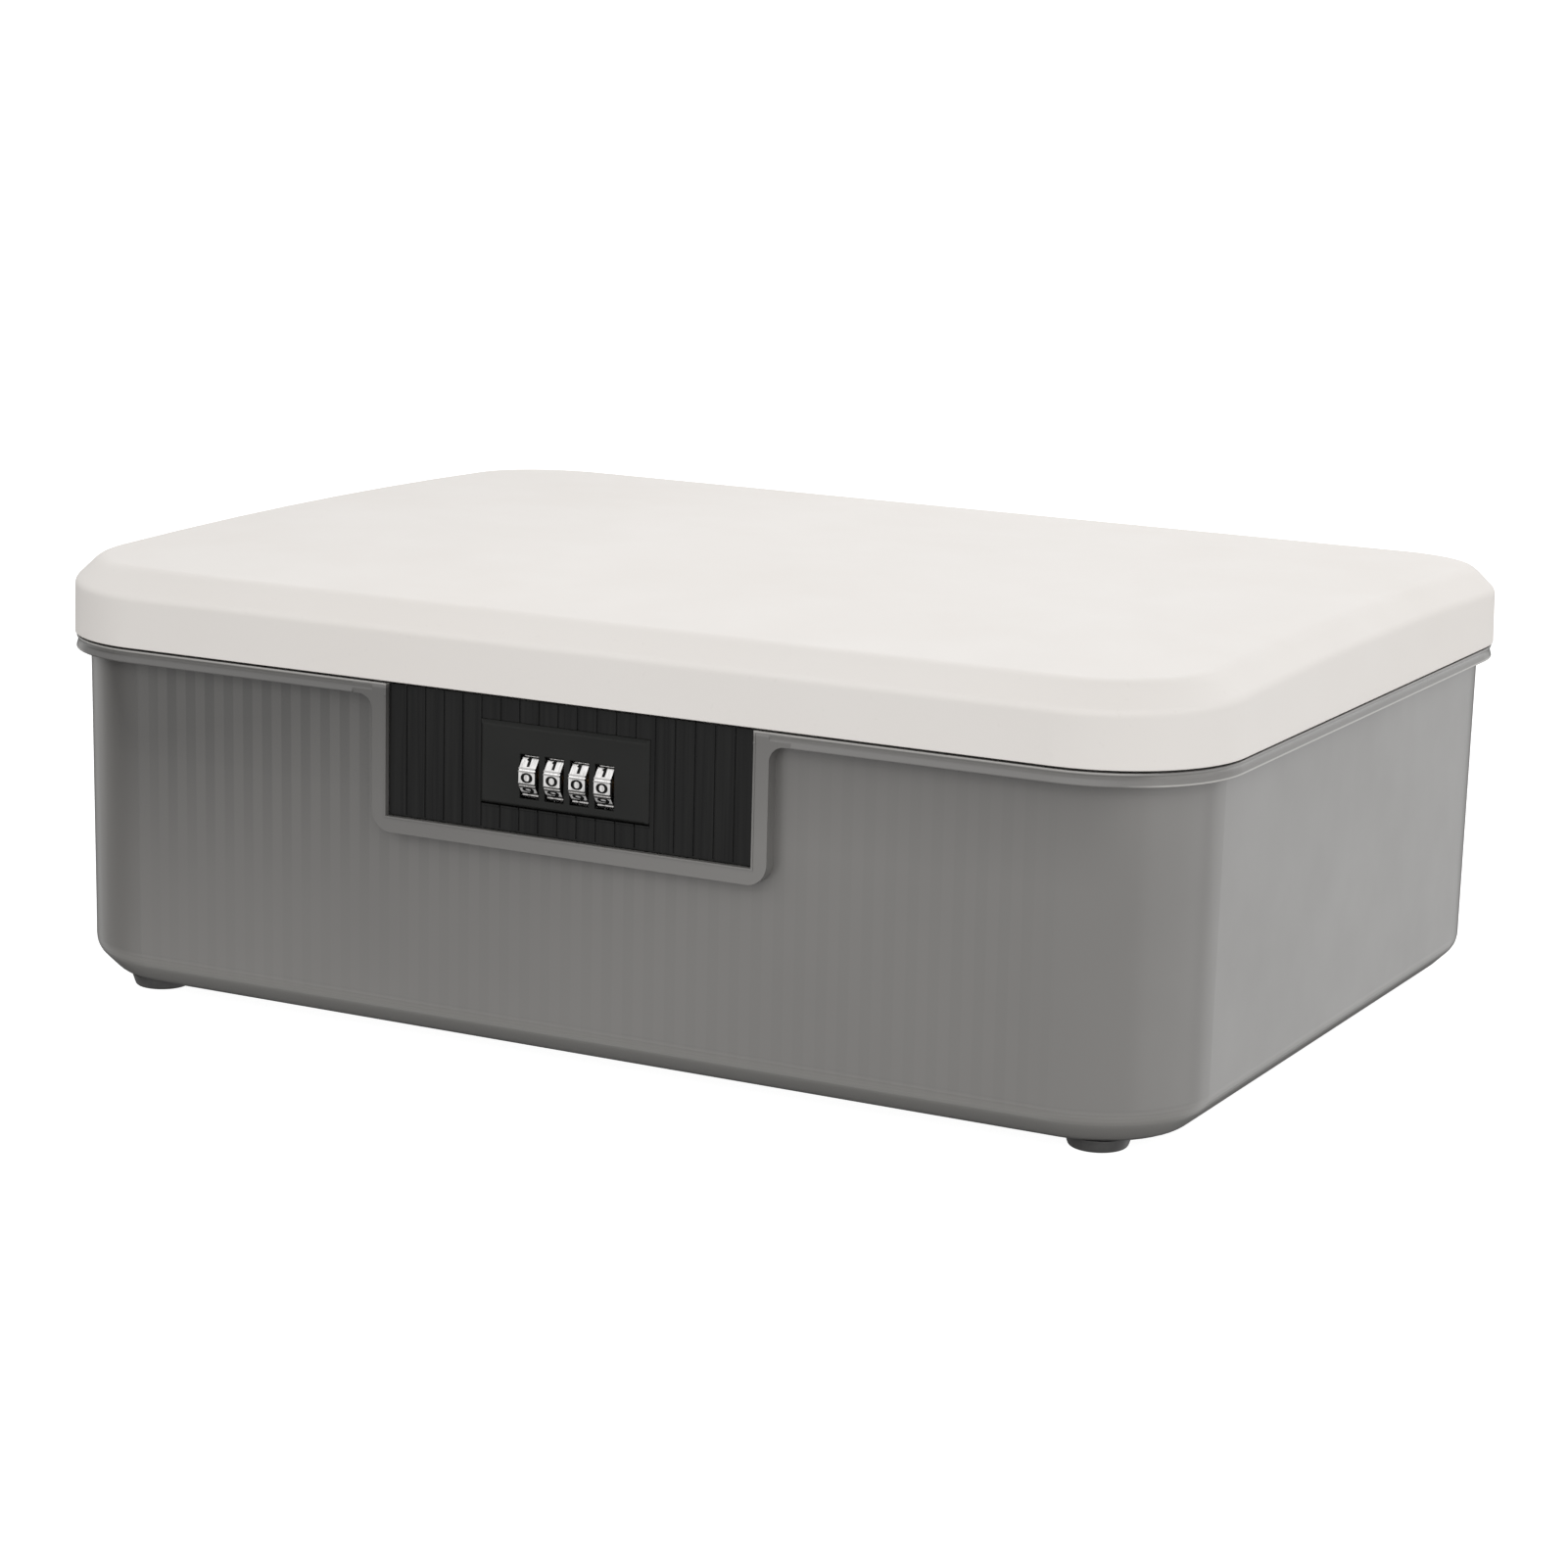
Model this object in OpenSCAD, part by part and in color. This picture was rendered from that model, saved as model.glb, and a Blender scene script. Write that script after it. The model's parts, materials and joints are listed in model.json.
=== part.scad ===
// Combination lock box: a low plastic chest with a hinged lid and a four-wheel lock in its front.
// Millimetres, +Z up, front towards -Y. The origin is on the ground under the middle of the whole part.

/* [Lid] */
// Width of the lid, side to side
lid_w = 300; // [240:1:400]
// Depth of the lid, front to back
lid_d = 225; // [180:1:320]
// Corner radius of the lid seen from above
lid_r = 31; // [26:0.5:45]
// Height of the upright skirt of the lid
skirt_h = 12.2; // [10:0.1:30]
// Height of the sloped edge above the skirt
slope_h = 5.7; // [3:0.1:10]
// How far the sloped edge leans in
slope_in = 6.5; // [3:0.5:10]
// Wall thickness of the lid
lid_wall = 2.4; // [1.6:0.1:3]
// How much higher the lid is in the middle than at its front and back
lid_arch = 2.4; // [1:0.1:4]

/* [Body] */
// Height of the lid's lower edge above the ground
part_z = 87; // [87:1:160]
// Height of the feet
foot_h = 3; // [2:0.5:6]
// Wall thickness of the body
wall = 2.4; // [1.8:0.1:3]
// How far the lid stands out beyond the body wall
overhang = 3.8; // [3:0.1:5]
// How far each wall leans in towards the bottom
draft = 0.6; // [0:0.1:2]
// Size of the bevel along the bottom edge
bottom_bevel = 6.5; // [3:0.5:8]
// Height of the rim band under the lid
rim_h = 3.1; // [2.6:0.1:6]

/* [Lock panel] */
// Width of the black panel
panel_w = 94.6; // [86:0.2:120]
// Height of the black panel
panel_h = 30.5; // [29:0.5:34]
// How far the panel's middle lies to the right of the box's middle
panel_mid = 0.7; // [-3:0.1:3]
// Width of the rim band where it runs round the panel
frame_w = 4; // [3:0.1:6]
// Distance between the grooves of the panel
groove_pitch = 5; // [3:0.5:8]
// Width of the raised dial plate
plate_w = 43.8; // [42:0.2:52]
// Height of the raised dial plate
plate_h = 19; // [18:0.2:22]

/* [Lock] */
// Distance from one number wheel to the next
wheel_pitch = 6.5; // [6.3:0.1:7]
// How far the middle of the wheels lies to the right of the box's middle
wheel_mid = 1.1; // [-2:0.1:2]
// Width of a number wheel
wheel_w = 4.2; // [4:0.05:4.2]
// Radius of a number wheel
wheel_r = 5.8; // [5.7:0.05:6.2]
// How far the wheels stand out of the dial plate
wheel_out = 1.5; // [0.8:0.1:1.6]
// Travel of the latch bar from open to locked
latch_travel = 1.4; // [1.2:0.05:1.4]

/* [Feet] */
// Radius of a foot where it meets the base
foot_r = 7.5; // [5:0.5:10]
// Distance of each foot's middle from the lid's left or right side
foot_in_x = 25.5; // [22:0.5:60]
// Distance of each foot's middle from the lid's front or back
foot_in_y = 20.5; // [20:0.5:60]

/* [Hidden] */
$fn = 48;

// Heights
lid_gap = 0.6;
rim_top = part_z - lid_gap;
lid_top = part_z + skirt_h + slope_h + lid_arch;
floor_z = foot_h + wall;

// Radii from the shared middle of each plan corner
rim_u = lid_r - 0.3;
wall_u = lid_r - overhang;
inner_u = wall_u - wall;
core_w = lid_w - 2 * lid_r;
core_d = lid_d - 2 * lid_r;

// The lid is bent over a level axis far below the box, then runs straight on to its front and back
arch_r = (core_d * core_d / 8 + lid_r * core_d / 2) / lid_arch;
arch_z = part_z + lid_arch - arch_r;
tilt = asin(core_d / 2 / arch_r);
arch_steps = 16;
soft_steps = 5;

// Front faces, counted from the middle of the box
wall_y = -(core_d / 2 + wall_u);
rim_y = -(core_d / 2 + rim_u);
band_in = 0.25;
lip_t = 0.45;
panel_y = rim_y + 1.4;
panel_back_y = wall_y - 0.05;
plate_y = panel_y - 1;
plate_back_y = panel_y + 1.2;
panel_bottom = rim_top - 0.2 - panel_h;
plate_z = panel_bottom + panel_h / 2 + 0.5;
plate_web = 0.6;
corner_soft = 0.9;

// Wheel stack
wheel_count = 4;
digit_count = 10;
digit_angle = 360 / digit_count;
axle_y = plate_y - wheel_out + wheel_r;
axle_z = plate_z - 2.4;
axle_r = 1.1;
sleeve_r = 2.1;
collar_r = axle_y - plate_y - plate_web - 0.15;
collar_t = 0.5;
key_r = sleeve_r + 0.4;
fit = 0.05;
fin_t = 0.6;
fin_h = 1.4;
window_w = wheel_w + 0.8;
window_h = 10.2;
wheel_gap = wheel_pitch - wheel_w;
fin_x = latch_travel / 2;

// Lock case behind the panel
case_mid = wheel_mid + 0.6;
case_half = 2 * wheel_pitch + 1.4;
case_t = 1.8;
case_out = case_half + case_t;
case_half_h = wheel_r + 0.65;
bar_y = axle_y + wheel_r + 0.8;
bar_t = 1;
bar_low = axle_z - 3.1;
bar_high = axle_z + 3.1;
cheek_back_y = bar_y - 0.15;
cover_y = bar_y + bar_t + 0.2;
cover_t = 1.2;
post_x = case_out + 1.8;
post_z = 6.5;
post_r = 2.1;
lug_x = case_out + 3.6;
lug_y = panel_back_y + 4;

// Latch and keeper
nose_low = axle_z + 9;
nose_h = 2.5;
nose_l = 1.5;
leg_t = 1.5;
leg_out = case_out + 8.9;
leg_left_x = case_mid - leg_out;
leg_right_x = case_mid + leg_out;
leg_low = axle_z + 6.4;
leg_d = 7;
leg_y = bar_y - 3.1;
keeper_z = lid_top - lid_arch - lid_wall - 5.9;
keeper_t = 1.6;
keeper_screw_x = 14;
keeper_y = bar_y + 0.7;
seat_x = case_mid + case_out + 4.8;
tongue_x = leg_right_x + leg_t + 1;

// Hinge at the back
hinge_r = 3.2;
pin_r = 1.5;
hinge_y = lid_d / 2 + hinge_r + 0.2;
hinge_z = rim_top + lid_gap / 2;
hinge_x = lid_w * 0.27;
knuckle_l = 14;
knuckle_gap = 0.4;

// The whole part is moved so that its middle, wheels to hinge, is over the origin
front_y = plate_y - wheel_out;
mid_y = (front_y + hinge_y + hinge_r) / 2;

// Middle of wheel number i, counted from the left
function wheel_x(i) = wheel_mid + (i - (wheel_count - 1) / 2) * wheel_pitch;

// Middle of the gap to the right of wheel number i
function gap_x(i) = wheel_x(i) + wheel_pitch / 2;

// The point that lies a given length from one point towards another
function towards(from, to, length) = from + (to - from) * length / norm(to - from);

// Rounds the corners of an outline; each point is [x, y, how far from the corner its curve starts]
function soft(points) = [
    for (k = [0 : len(points) - 1])
        let (
            last = len(points) - 1,
            here = [points[k].x, points[k].y],
            before = points[k == 0 ? last : k - 1],
            after = points[k == last ? 0 : k + 1],
            start = towards(here, [before.x, before.y], points[k].z),
            end = towards(here, [after.x, after.y], points[k].z)
        )
        each points[k].z == 0 ? [here] : [
            for (step = [0 : soft_steps])
                let (t = step / soft_steps)
                (1 - t) * (1 - t) * start + 2 * t * (1 - t) * here + t * t * end
        ]
];

// A cylinder along X between two places
module rod_x(x1, x2, r) {
    translate([x1, 0, 0])
        rotate([0, 90, 0])
            cylinder(r = r, h = x2 - x1);
}

// A cylinder along Y that starts at y1 and ends at y2
module rod_y(y1, y2, r) {
    translate([0, y2, 0])
        rotate([90, 0, 0])
            cylinder(r = r, h = y2 - y1);
}

// A box given by its two opposite corners
module block(a, b) {
    translate(a)
        cube(b - a);
}

// A flat shape drawn in X and Z, given depth along Y
module plate_xz(y1, y2) {
    translate([0, y2, 0])
        rotate([90, 0, 0])
            linear_extrude(y2 - y1)
                children();
}

// Carries a profile round the rounded rectangle of the box; the profile's x is the
// distance outwards from the line that joins the corner middles, its y is the height
module carry_round() {
    for (turn = [0, 180])
        rotate([0, 0, turn]) {
            translate([-core_w / 2, core_d / 2, 0])
                rotate([90, 0, 90])
                    linear_extrude(core_w)
                        children();
            translate([core_w / 2, core_d / 2, 0])
                rotate([90, 0, 0])
                    linear_extrude(core_d)
                        children();
            translate([core_w / 2, core_d / 2, 0])
                rotate_extrude(angle = 90)
                    children();
            translate([-core_w / 2, core_d / 2, 0])
                rotate([0, 0, 90])
                    rotate_extrude(angle = 90)
                        children();
        }
}

// Bends a profile over the arch of the lid; its x is the distance above the axis, its y runs to the left
module bend_over() {
    translate([0, 0, arch_z])
        rotate([0, -90, 0])
            rotate([0, 0, -tilt])
                rotate_extrude(angle = 2 * tilt, $fn = arch_steps * 180 / tilt)
                    children();
}

// Carries an outline round the arched lid: bent along the two sides, straight and tipped at the front and back
module carry_over(outline) {
    for (turn = [0, 180])
        rotate([0, 0, turn]) {
            bend_over()
                polygon([for (p = outline) [p.y - arch_z, core_w / 2 + p.x]]);
            translate([0, 0, arch_z])
                rotate([-tilt, 0, 0])
                    translate([0, 0, -arch_z]) {
                        translate([-core_w / 2, 0, 0])
                            rotate([90, 0, 90])
                                linear_extrude(core_w)
                                    polygon(outline);
                        translate([core_w / 2, 0, 0])
                            rotate_extrude(angle = 90)
                                polygon(outline);
                        translate([-core_w / 2, 0, 0])
                            rotate([0, 0, 90])
                                rotate_extrude(angle = 90)
                                    polygon(outline);
                    }
        }
}

// A level plate over the middle of the box, as wide as the corner middles are apart
module core_plate(z1, z2) {
    block([-core_w / 2, -core_d / 2, z1], [core_w / 2, core_d / 2, z2]);
}

// Places the children at the four feet
module at_each_foot() {
    for (sx = [-1, 1], sy = [-1, 1])
        translate([sx * (lid_w / 2 - foot_in_x), sy * (lid_d / 2 - foot_in_y), 0])
            children();
}

// Places the children at the four posts that hold the panel to the wall
module at_panel_posts() {
    for (sx = [-1, 1], sz = [5, panel_h - 6])
        translate([panel_mid + sx * (panel_w / 2 - 6), 0, panel_bottom + sz])
            children();
}

// Places the children at the two lugs of the lock case
module at_case_lugs() {
    for (s = [-1, 1])
        translate([case_mid + s * lug_x, 0, axle_z])
            children();
}

// Places the children at the four posts that carry the cover
module at_cover_posts() {
    for (sx = [-1, 1], sz = [-1, 1])
        translate([case_mid + sx * post_x, 0, axle_z + sz * post_z])
            children();
}

// Places the children at the two bosses of the keeper
module at_keeper_bosses() {
    for (s = [-1, 1])
        translate([s * keeper_screw_x, keeper_y, 0])
            children();
}

// Wall, floor and rim of the body as one profile; the rim is hollowed between a lip and a bead
module body_profile() {
    low_u = wall_u - draft;
    rim_low = rim_top - rim_h;
    polygon(soft([
        [0, foot_h, 0],
        [low_u - bottom_bevel, foot_h, 2.5],
        [low_u, foot_h + bottom_bevel, 2.5],
        [wall_u, rim_low, 0],
        [rim_u, rim_low, 0.15],
        [rim_u, rim_low + 0.3, 0],
        [rim_u - 2 * band_in, rim_top - 1.2, 0.6],
        [rim_u - 0.1, rim_top - lip_t, 0],
        [rim_u - 0.1, rim_top, 0.12],
        [inner_u, rim_top, 0],
        [low_u - wall, foot_h + bottom_bevel + 0.8, 2],
        [low_u - bottom_bevel - 0.8, floor_z, 2],
        [0, floor_z, 0]
    ]));
}

// The opening for the panel, widened by a given amount at its sides and bottom
module panel_opening(wider) {
    translate([-panel_w / 2 - wider, panel_bottom - wider])
        square([panel_w + 2 * wider, rim_top + 1 - panel_bottom + wider]);
}

// Outline of the band that the rim makes round the panel
module frame_outline() {
    out = panel_w / 2 + frame_w;
    low = panel_bottom - frame_w;
    turn = 5;
    fillet = 3.6;
    difference() {
        union() {
            translate([-out, low + turn])
                square([2 * out, rim_top - lip_t - low - turn]);
            translate([-out + turn, low])
                square([2 * (out - turn), turn]);
            for (s = [-1, 1])
                translate([s * (out - turn), low + turn])
                    circle(r = turn);
            for (s = [-1, 1])
                translate([s * (out + fillet / 2), rim_top - rim_h - fillet / 2])
                    square([fillet, fillet], center = true);
        }
        for (s = [-1, 1])
            translate([s * (out + fillet), rim_top - rim_h - fillet])
                circle(r = fillet);
        panel_opening(0);
    }
}

// Thin lip along the edge of the band next to the panel
module frame_lip() {
    difference() {
        intersection() {
            panel_opening(lip_t + 0.2);
            translate([-panel_w, 0])
                square([2 * panel_w, rim_top]);
        }
        panel_opening(0);
    }
}

// One knuckle of a hinge with the web that joins it to its shell
module knuckle(x1, x2, web_z1, web_z2) {
    difference() {
        union() {
            translate([0, hinge_y, hinge_z])
                rod_x(x1, x2, hinge_r);
            block([x1, lid_d / 2 - 1.2, web_z1], [x2, hinge_y, web_z2]);
        }
        translate([0, hinge_y, hinge_z])
            rod_x(x1 - 1, x2 + 1, pin_r + fit);
    }
}

module body_shell() {
    color([0.47, 0.46, 0.45])
        difference() {
            union() {
                carry_round()
                    body_profile();
                core_plate(foot_h, floor_z);
                translate([panel_mid, 0, 0]) {
                    plate_xz(rim_y + band_in, wall_y + 0.6)
                        frame_outline();
                    plate_xz(rim_y + 0.1, wall_y + 0.6)
                        frame_lip();
                }
                for (s = [-1, 1], end = [-1, 1])
                    knuckle(
                        s * hinge_x + end * (knuckle_l + knuckle_gap) - knuckle_l / 2,
                        s * hinge_x + end * (knuckle_l + knuckle_gap) + knuckle_l / 2,
                        rim_top - rim_h, hinge_z - 0.3
                    );
            }
            translate([panel_mid, 0, 0]) {
                plate_xz(rim_y - 1, wall_y)
                    panel_opening(0.2);
                for (s = [-1, 1])
                    translate([s * (panel_w / 2 + frame_w + 1), rim_y + band_in - 0.5, rim_top - rim_h / 2 - lip_t])
                        cube([2 * frame_w + 0.7, 1, rim_h], center = true);
            }
            block(
                [case_mid - lug_x - 3.6, wall_y - 1, axle_z - case_half_h - 2.4],
                [case_mid + lug_x + 3.6, wall_y + wall + 2, axle_z + case_half_h + 2.4]
            );
            at_panel_posts() {
                rod_y(wall_y - 1, wall_y + wall + 1, 2.4);
                rod_y(wall_y + wall, wall_y + wall + 2, 3.4);
            }
            at_each_foot()
                translate([0, 0, foot_h - 1])
                    cylinder(r = 3.35, h = wall + 2);
        }
}

// Skirt, sloped edge and top of the lid as one outline, at the heights they have in the middle of the sides
function lid_outline() =
    let (
        skirt_top = lid_top - slope_h,
        lean = skirt_h * tan(tilt),
        low = part_z - 1
    )
    soft([
        [lid_r, low, 0],
        [lid_r, skirt_top - skirt_h, 0],
        [lid_r - lean, skirt_top, 1.2],
        [lid_r - slope_in, lid_top, 2.2],
        [0, lid_top, 0],
        [0, lid_top - lid_wall, 0],
        [lid_r - slope_in - 1, lid_top - lid_wall, 2],
        [lid_r - lean - lid_wall, skirt_top - 1, 2],
        [lid_r - lid_wall, low, 0]
    ]);

// Lip that drops inside the body and centres the lid
function lip_outline() =
    let (
        low = rim_top - 3,
        high = lid_top - lid_wall + 0.4
    )
    [
        [inner_u - 2.1, low],
        [inner_u - 0.5, low],
        [inner_u - 0.5, high],
        [inner_u - 2.1, high]
    ];

// Keeps what is above a level
module above(level) {
    intersection() {
        children();
        block([-lid_w, -lid_d, level], [lid_w, lid_d, lid_top + 1]);
    }
}

module lid_shell() {
    color([0.92, 0.91, 0.89])
        difference() {
            union() {
                above(part_z)
                    carry_over(lid_outline());
                above(rim_top - 2)
                    carry_over(lip_outline());
                bend_over()
                    translate([lid_top - lid_wall - arch_z, -core_w / 2])
                        square([lid_wall, core_w]);
                for (s = [-1, 1])
                    knuckle(
                        s * hinge_x - knuckle_l / 2, s * hinge_x + knuckle_l / 2,
                        hinge_z + 0.3, hinge_z + 3
                    );
                at_keeper_bosses()
                    translate([0, 0, keeper_z + keeper_t])
                        cylinder(r = 3, h = lid_top - lid_arch - lid_wall + 1 - keeper_z - keeper_t);
            }
            at_keeper_bosses()
                translate([0, 0, keeper_z])
                    cylinder(r = 1.25, h = 5.5);
        }
}

module lock_panel() {
    groove_count = 2 * floor(panel_w / 2 / groove_pitch);
    seat_low = plate_z - plate_h / 2 - 0.5;
    color([0.07, 0.07, 0.07])
        difference() {
            union() {
                translate([panel_mid, 0, 0])
                    block(
                        [-panel_w / 2, panel_y, panel_bottom],
                        [panel_w / 2, panel_back_y, panel_bottom + panel_h]
                    );
                block(
                    [-plate_w / 2, panel_y - 0.2, seat_low - 0.45],
                    [plate_w / 2, panel_y + 0.5, seat_low]
                );
                at_panel_posts()
                    rod_y(panel_back_y - 0.5, wall_y + wall, 2.2);
                at_case_lugs()
                    rod_y(panel_back_y - 0.5, panel_back_y + 2.6, 1.9);
            }
            for (k = [0 : groove_count - 1])
                translate([panel_mid + (k - (groove_count - 1) / 2) * groove_pitch, 0, 0])
                    block([-0.22, panel_y - 1, panel_bottom + 0.4], [0.22, panel_y + 0.25, rim_top]);
            block(
                [-plate_w / 2 - fit, panel_y - 1, seat_low],
                [plate_w / 2 + fit, plate_back_y, plate_z + plate_h / 2 + fit]
            );
            block(
                [wheel_mid - 2 * wheel_pitch - 1, panel_y - 1, axle_z - case_half_h - fit],
                [wheel_mid + 2 * wheel_pitch + 1, panel_back_y + 1, axle_z + case_half_h + fit]
            );
            for (sx = [-1, 1], sz = [-1, 1])
                translate([sx * (plate_w / 2 - 2.4), 0, plate_z + sz * (plate_h / 2 - 2.4)])
                    rod_y(panel_y, panel_back_y + 1, 0.95);
            at_panel_posts()
                rod_y(panel_back_y, wall_y + wall + 1, 1.05);
            at_case_lugs()
                rod_y(panel_back_y, panel_back_y + 3, 0.85);
        }
}

module dial_plate() {
    soft = corner_soft;
    color([0.19, 0.19, 0.18])
        difference() {
            union() {
                translate([-plate_w / 2, 0, plate_z - plate_h / 2])
                    rotate([90, 0, 90])
                        linear_extrude(plate_w)
                            polygon([
                                [plate_y + soft / 2, 0],
                                [plate_y, soft / 2],
                                [plate_y, plate_h - soft],
                                [plate_y + soft, plate_h],
                                [plate_back_y, plate_h],
                                [plate_back_y, 0]
                            ]);
                for (sx = [-1, 1], sz = [-1, 1])
                    translate([sx * (plate_w / 2 - 2.4), 0, plate_z + sz * (plate_h / 2 - 2.4)])
                        rod_y(plate_back_y - 0.5, panel_back_y, 0.9);
            }
            for (s = [-1, 1])
                translate([s * plate_w / 2, plate_y, plate_z])
                    rotate([0, 0, 45])
                        cube([soft * sqrt(2), soft * sqrt(2), plate_h + 2], center = true);
            for (i = [0 : wheel_count - 1])
                translate([wheel_x(i), plate_y, axle_z])
                    cube([window_w, 6, window_h], center = true);
            block(
                [wheel_mid - 2 * wheel_pitch - 0.8, plate_y + plate_web, axle_z - case_half_h],
                [wheel_mid + 2 * wheel_pitch + 0.8, plate_back_y + 1, axle_z + case_half_h]
            );
        }
}

module lock_case() {
    top = axle_z + case_half_h;
    low = axle_z - case_half_h;
    color([0.12, 0.12, 0.12])
        difference() {
            union() {
                difference() {
                    block(
                        [case_mid - case_out, panel_back_y + 0.05, low - 1.6],
                        [case_mid + case_out, cheek_back_y, top + 1.6]
                    );
                    block(
                        [case_mid - case_half, panel_back_y - 1, low],
                        [case_mid + case_half, cheek_back_y + 1, top]
                    );
                }
                for (z = [bar_low - 1.1, bar_high + 0.1])
                    block(
                        [case_mid - case_out, cheek_back_y - 0.8, z],
                        [case_mid + case_out, cover_y - 0.05, z + 1]
                    );
                at_cover_posts()
                    rod_y(cheek_back_y - 5, cover_y, post_r);
                at_case_lugs()
                    rod_y(panel_back_y + 0.05, lug_y, 3);
                for (s = [-1, 1])
                    block(
                        [case_mid + s * (case_out + 1.2) - 1.6, panel_back_y + 0.05, axle_z - 2],
                        [case_mid + s * (case_out + 1.2) + 1.6, lug_y, axle_z + 2]
                    );
                block(
                    [case_mid + post_x, cheek_back_y - 3, axle_z - post_z - 2],
                    [seat_x, cheek_back_y - 0.2, axle_z - post_z + 1.6]
                );
            }
            translate([0, axle_y, axle_z])
                rod_x(case_mid - case_out - 1, case_mid + case_out + 1, axle_r + 0.02);
            at_cover_posts()
                rod_y(cover_y - 4, cover_y + 1, 0.85);
            at_case_lugs() {
                rod_y(panel_back_y - 1, panel_back_y + 2.7, 1.95);
                rod_y(panel_back_y - 1, lug_y + 1, 0.95);
            }
        }
}

module case_cover() {
    color([0.62, 0.63, 0.64])
        difference() {
            block(
                [case_mid - post_x - 2.6, cover_y, axle_z - post_z - 2.8],
                [case_mid + post_x + 2.6, cover_y + cover_t, axle_z + post_z + 2.8]
            );
            at_cover_posts()
                rod_y(cover_y - 1, cover_y + cover_t + 1, 1);
        }
}

module wheel_axle() {
    color([0.72, 0.73, 0.74])
        translate([0, axle_y, axle_z])
            rod_x(case_mid - case_out, case_mid + case_out, axle_r);
}

// Flat pads for the numerals with a pair of ridges between neighbours
module wheel_outline() {
    difference() {
        circle(r = wheel_r);
        for (i = [0 : digit_count - 1])
            rotate(i * digit_angle) {
                translate([wheel_r * 0.935, -1.25])
                    square([1.5, 2.5]);
                rotate(digit_angle / 2)
                    translate([wheel_r - 0.3, -0.17])
                        square([1, 0.34]);
                translate([0, -0.52])
                    square([key_r + 0.1, 1.04]);
            }
        circle(r = sleeve_r + 0.02);
    }
}

module dial_wheel(i) {
    color([0.82, 0.82, 0.83])
        translate([wheel_x(i) - wheel_w / 2, axle_y, axle_z])
            rotate([90, 0, 90])
                linear_extrude(wheel_w)
                    wheel_outline();
}

module code_sleeve(i) {
    left = wheel_x(i) - wheel_pitch / 2 + 0.35;
    right = gap_x(i) + collar_t / 2;
    color([0.78, 0.66, 0.38])
        translate([0, axle_y, axle_z])
            difference() {
                union() {
                    rod_x(left, right, sleeve_r);
                    rod_x(right - collar_t, right, collar_r);
                    block([wheel_x(i) - wheel_w / 2, -key_r, -0.5], [wheel_x(i) + wheel_w / 2, 0, 0.5]);
                }
                rod_x(left - 1, right + 1, axle_r + fit);
                block([right - collar_t - 0.1, sleeve_r + 0.05, -1.2], [right + 1, collar_r + 1, 1.2]);
            }
}

module latch_bar() {
    left = leg_left_x - 0.2 - nose_l;
    right = leg_right_x - 0.2 - nose_l;
    color([0.66, 0.67, 0.68])
        union() {
            block([left - 2, bar_y, bar_low], [tongue_x + 1, bar_y + bar_t, bar_high]);
            for (x = [left, right]) {
                block([x - 2, bar_y, bar_high - 1], [x, bar_y + bar_t, nose_low + nose_h + 1.5]);
                block([x - 1, bar_y, nose_low], [x + nose_l, bar_y + bar_t, nose_low + nose_h]);
            }
            block(
                [tongue_x, bar_y - 3.2, axle_z - post_z - 2],
                [tongue_x + 1, bar_y + bar_t, bar_low + 1]
            );
            for (i = [0 : wheel_count - 1])
                block(
                    [gap_x(i) - fin_x - fin_t / 2, axle_y + sleeve_r + 0.5, axle_z - fin_h / 2],
                    [gap_x(i) - fin_x + fin_t / 2, bar_y + 0.5, axle_z + fin_h / 2]
                );
        }
}

// A folded leaf between its seat on the case and the tongue of the latch bar
module latch_spring() {
    leaf = 0.3;
    rise = 2.4;
    folds = 4;
    fold_l = (tongue_x - seat_x) / folds;
    lower = [for (i = [0 : folds]) [i * fold_l, (i % 2) * rise]];
    upper = [for (i = [folds : -1 : 0]) lower[i] + [0, 2 * leaf]];
    color([0.8, 0.8, 0.82])
        translate([seat_x, 0, axle_z - post_z - 1.5])
            plate_xz(cheek_back_y - 2.8, cheek_back_y - 0.4)
                polygon(concat(lower, upper));
}

module click_spring() {
    low = axle_z - case_half_h + 0.02;
    tip = wheel_r + 0.1;
    color([0.8, 0.8, 0.82])
        union() {
            block(
                [wheel_x(0) - 1.5, cheek_back_y - 2.4, low],
                [wheel_x(wheel_count - 1) + 1.5, cheek_back_y - 0.6, low + 0.5]
            );
            for (i = [0 : wheel_count - 1])
                translate([wheel_x(i) - 1.5, 0, 0])
                    rotate([90, 0, 90])
                        linear_extrude(3)
                            polygon([
                                [axle_y - 1.6, low],
                                [axle_y - 1.6, low + 0.25],
                                [axle_y - 0.5, axle_z - tip],
                                [axle_y + 0.5, axle_z - tip],
                                [axle_y + 1.6, low + 0.25],
                                [cheek_back_y - 1, low + 0.25],
                                [cheek_back_y - 1, low]
                            ]);
        }
}

// A plate with two legs; the toe at the end of each leg reaches under a nose of the latch bar
module lid_keeper() {
    color([0.72, 0.73, 0.74])
        difference() {
            union() {
                block(
                    [leg_left_x, leg_y, keeper_z],
                    [leg_right_x + leg_t, leg_y + leg_d, keeper_z + keeper_t]
                );
                for (x = [leg_left_x, leg_right_x]) {
                    block([x, leg_y, leg_low], [x + leg_t, bar_y - 0.8, keeper_z + 1]);
                    block([x, leg_y, leg_low], [x + leg_t, leg_y + leg_d, nose_low - 0.4]);
                }
            }
            at_keeper_bosses()
                translate([0, 0, keeper_z - 1])
                    cylinder(r = 1.5, h = keeper_t + 2);
        }
}

// A pan-head screw along +Y: the head ends at y = 0 and the shank starts there
module screw_y(head_r, head_h, shank_r, shank_l) {
    rod_y(0, head_h, head_r);
    rod_y(-shank_l, 0.2, shank_r);
}

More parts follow.
